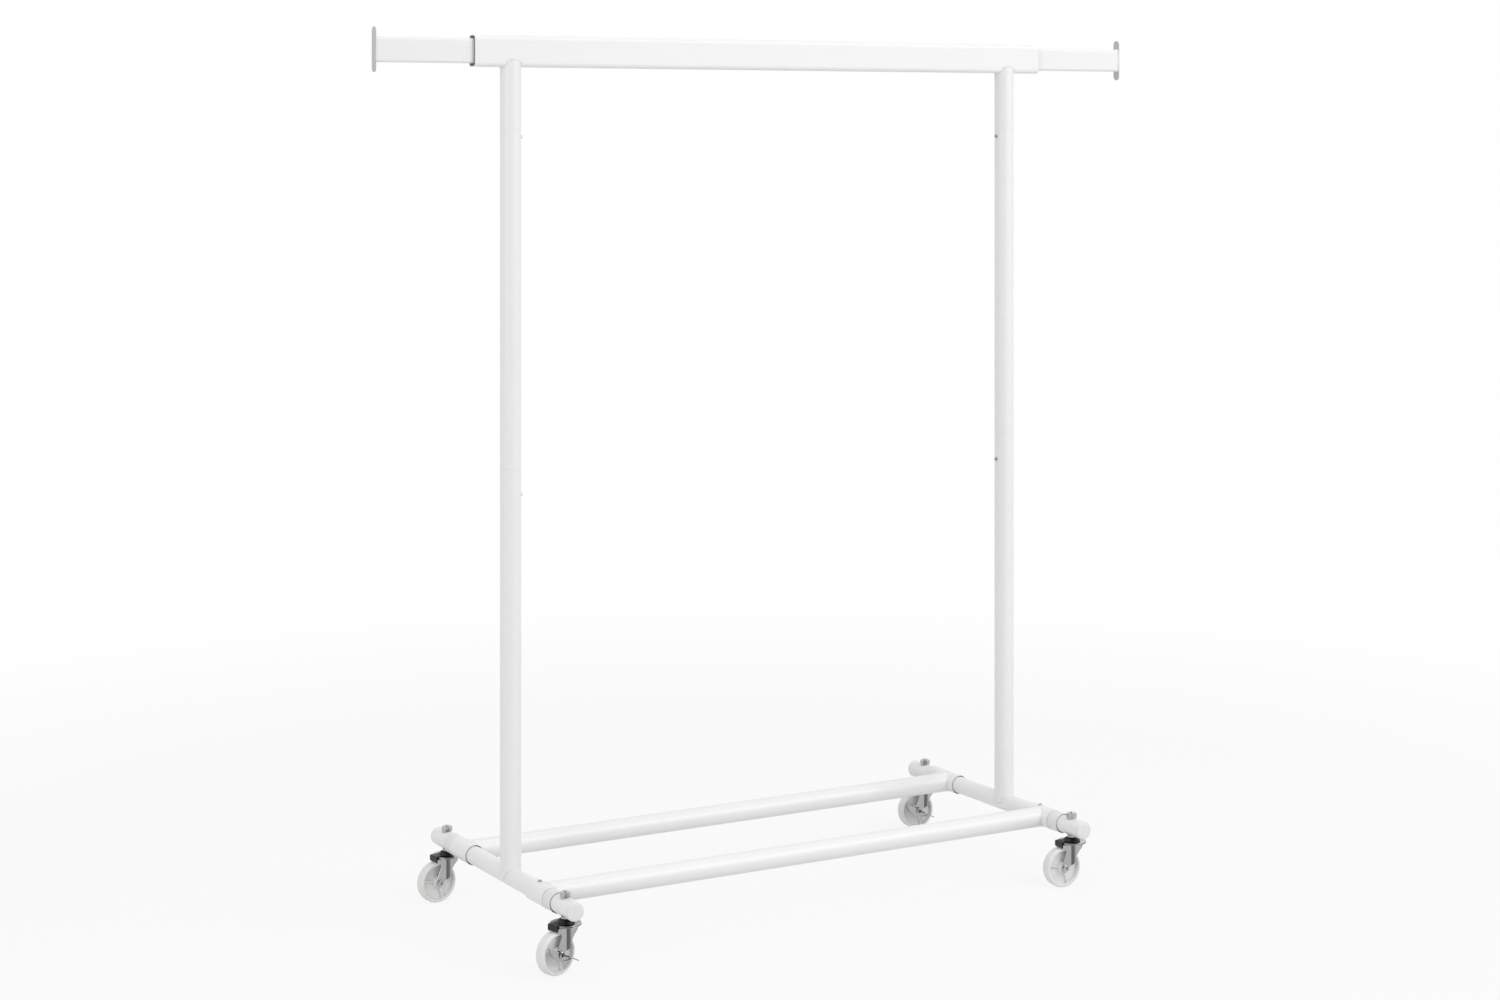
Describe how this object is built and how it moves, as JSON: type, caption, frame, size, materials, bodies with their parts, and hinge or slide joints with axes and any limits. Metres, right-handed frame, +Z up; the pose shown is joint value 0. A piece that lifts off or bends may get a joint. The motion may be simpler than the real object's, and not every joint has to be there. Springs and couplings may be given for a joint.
{
  "type": "rolling clothes rack",
  "caption": "White tube clothes rack with a hanging rail that lengthens at both ends, two long floor bars, and swivel casters, some with side brakes.",
  "frame": {"origin": "on the floor, under the middle of the hanging rail and of the two feet", "axes": "+X along the hanging rail, +Z up, -Y towards the front bar"},
  "size_m": [1.618, 0.588, 1.626],
  "materials": {
    "white_paint": "white powder coat, satin",
    "grey_paint": "grey powder coat, satin",
    "bare_steel": "plain drawn steel",
    "screw_steel": "zinc-plated steel",
    "bright_zinc": "bright zinc plate",
    "black_paint": "black, satin",
    "white_plastic": "moulded, fine grain",
    "dark_plastic": "moulded, dull",
    "white_nylon": "moulded nylon, soft sheen"
  },
  "bodies": {
    "frame": {"rail_tube": "white_paint", "upper_post_left": "white_paint", "upper_post_right": "white_paint", "middle_post_left": "white_paint", "middle_post_right": "white_paint", "lower_post_left": "white_paint", "lower_post_right": "white_paint", "foot_tube_left": "white_paint", "foot_tube_right": "white_paint", "front_bar": "white_paint", "back_bar": "white_paint", "sleeve_front_left": "white_paint", "sleeve_front_right": "white_paint", "sleeve_back_left": "white_paint", "sleeve_back_right": "white_paint", "post_spigots": "bare_steel", "post_screws": "screw_steel", "sleeve_screws": "screw_steel", "sleeve_collars": "white_plastic", "foot_cap_front_left": "white_plastic", "foot_cap_front_right": "white_plastic", "foot_cap_back_left": "white_plastic", "foot_cap_back_right": "white_plastic", "rail_bush_left": "dark_plastic", "rail_bush_right": "dark_plastic", "caster_washers": "screw_steel", "caster_nuts": "screw_steel", "caster_stem_front_left": "screw_steel", "caster_stem_front_right": "screw_steel", "caster_stem_back_left": "screw_steel", "caster_stem_back_right": "screw_steel"},
    "extension_left": {"arm_left": "white_paint", "arm_guide_left": "dark_plastic", "arm_stop_left": "grey_paint"},
    "extension_right": {"arm_right": "white_paint", "arm_guide_right": "dark_plastic", "arm_stop_right": "grey_paint"},
    "caster_front_left": {"crown_plate_front_left": "bright_zinc", "race_cover_front_left": "black_paint", "fork_front_left": "bright_zinc", "axle_front_left": "screw_steel"},
    "roller_front_left": {"wheel_front_left": "white_nylon"},
    "caster_front_right": {"crown_plate_front_right": "bright_zinc", "race_cover_front_right": "black_paint", "fork_front_right": "bright_zinc", "axle_front_right": "screw_steel"},
    "roller_front_right": {"wheel_front_right": "white_nylon"},
    "caster_back_left": {"crown_plate_back_left": "bright_zinc", "race_cover_back_left": "black_paint", "fork_back_left": "bright_zinc", "axle_back_left": "screw_steel"},
    "roller_back_left": {"wheel_back_left": "white_nylon"},
    "caster_back_right": {"crown_plate_back_right": "bright_zinc", "race_cover_back_right": "black_paint", "fork_back_right": "bright_zinc", "axle_back_right": "screw_steel"},
    "roller_back_right": {"wheel_back_right": "white_nylon"},
    "brake_lever_front_left": {"brake_front_left": "bright_zinc"},
    "brake_lever_back_right": {"brake_back_right": "bright_zinc"}
  },
  "joints": [
    {"name": "rail_slide_left", "type": "slide", "parent": "frame", "child": "extension_left", "axis": [-1, 0, 0], "range_m": [-0.1845, 0.128]},
    {"name": "rail_slide_right", "type": "slide", "parent": "frame", "child": "extension_right", "axis": [1, 0, 0], "range_m": [-0.2025, 0.128]},
    {"name": "swivel_front_left", "type": "hinge", "parent": "frame", "child": "caster_front_left", "pos_m": [-0.538, -0.253, 0.08], "axis": [0, 0, 1], "continuous": true},
    {"name": "roll_front_left", "type": "hinge", "parent": "caster_front_left", "child": "roller_front_left", "pos_m": [-0.56011, -0.25934, 0.0375], "axis": [-0.2756, 0.9613, 0], "continuous": true},
    {"name": "swivel_front_right", "type": "hinge", "parent": "frame", "child": "caster_front_right", "pos_m": [0.538, -0.253, 0.08], "axis": [0, 0, 1], "continuous": true},
    {"name": "roll_front_right", "type": "hinge", "parent": "caster_front_right", "child": "roller_front_right", "pos_m": [0.51503, -0.2518, 0.0375], "axis": [0.0523, 0.9986, 0], "continuous": true},
    {"name": "swivel_back_left", "type": "hinge", "parent": "frame", "child": "caster_back_left", "pos_m": [-0.538, 0.253, 0.08], "axis": [0, 0, 1], "continuous": true},
    {"name": "roll_back_left", "type": "hinge", "parent": "caster_back_left", "child": "roller_back_left", "pos_m": [-0.56078, 0.2498, 0.0375], "axis": [-0.1392, 0.9903, 0], "continuous": true},
    {"name": "swivel_back_right", "type": "hinge", "parent": "frame", "child": "caster_back_right", "pos_m": [0.538, 0.253, 0.08], "axis": [0, 0, 1], "continuous": true},
    {"name": "roll_back_right", "type": "hinge", "parent": "caster_back_right", "child": "roller_back_right", "pos_m": [0.51506, 0.2546, 0.0375], "axis": [0.0698, 0.9976, 0], "continuous": true},
    {"name": "brake_front_left", "type": "hinge", "parent": "caster_front_left", "child": "brake_lever_front_left", "pos_m": [-0.56011, -0.25934, 0.0375], "axis": [-0.2756, 0.9613, 0], "range_deg": [0, 22]},
    {"name": "brake_back_right", "type": "hinge", "parent": "caster_back_right", "child": "brake_lever_back_right", "pos_m": [0.51506, 0.2546, 0.0375], "axis": [0.0698, 0.9976, 0], "range_deg": [0, 22]}
  ]
}
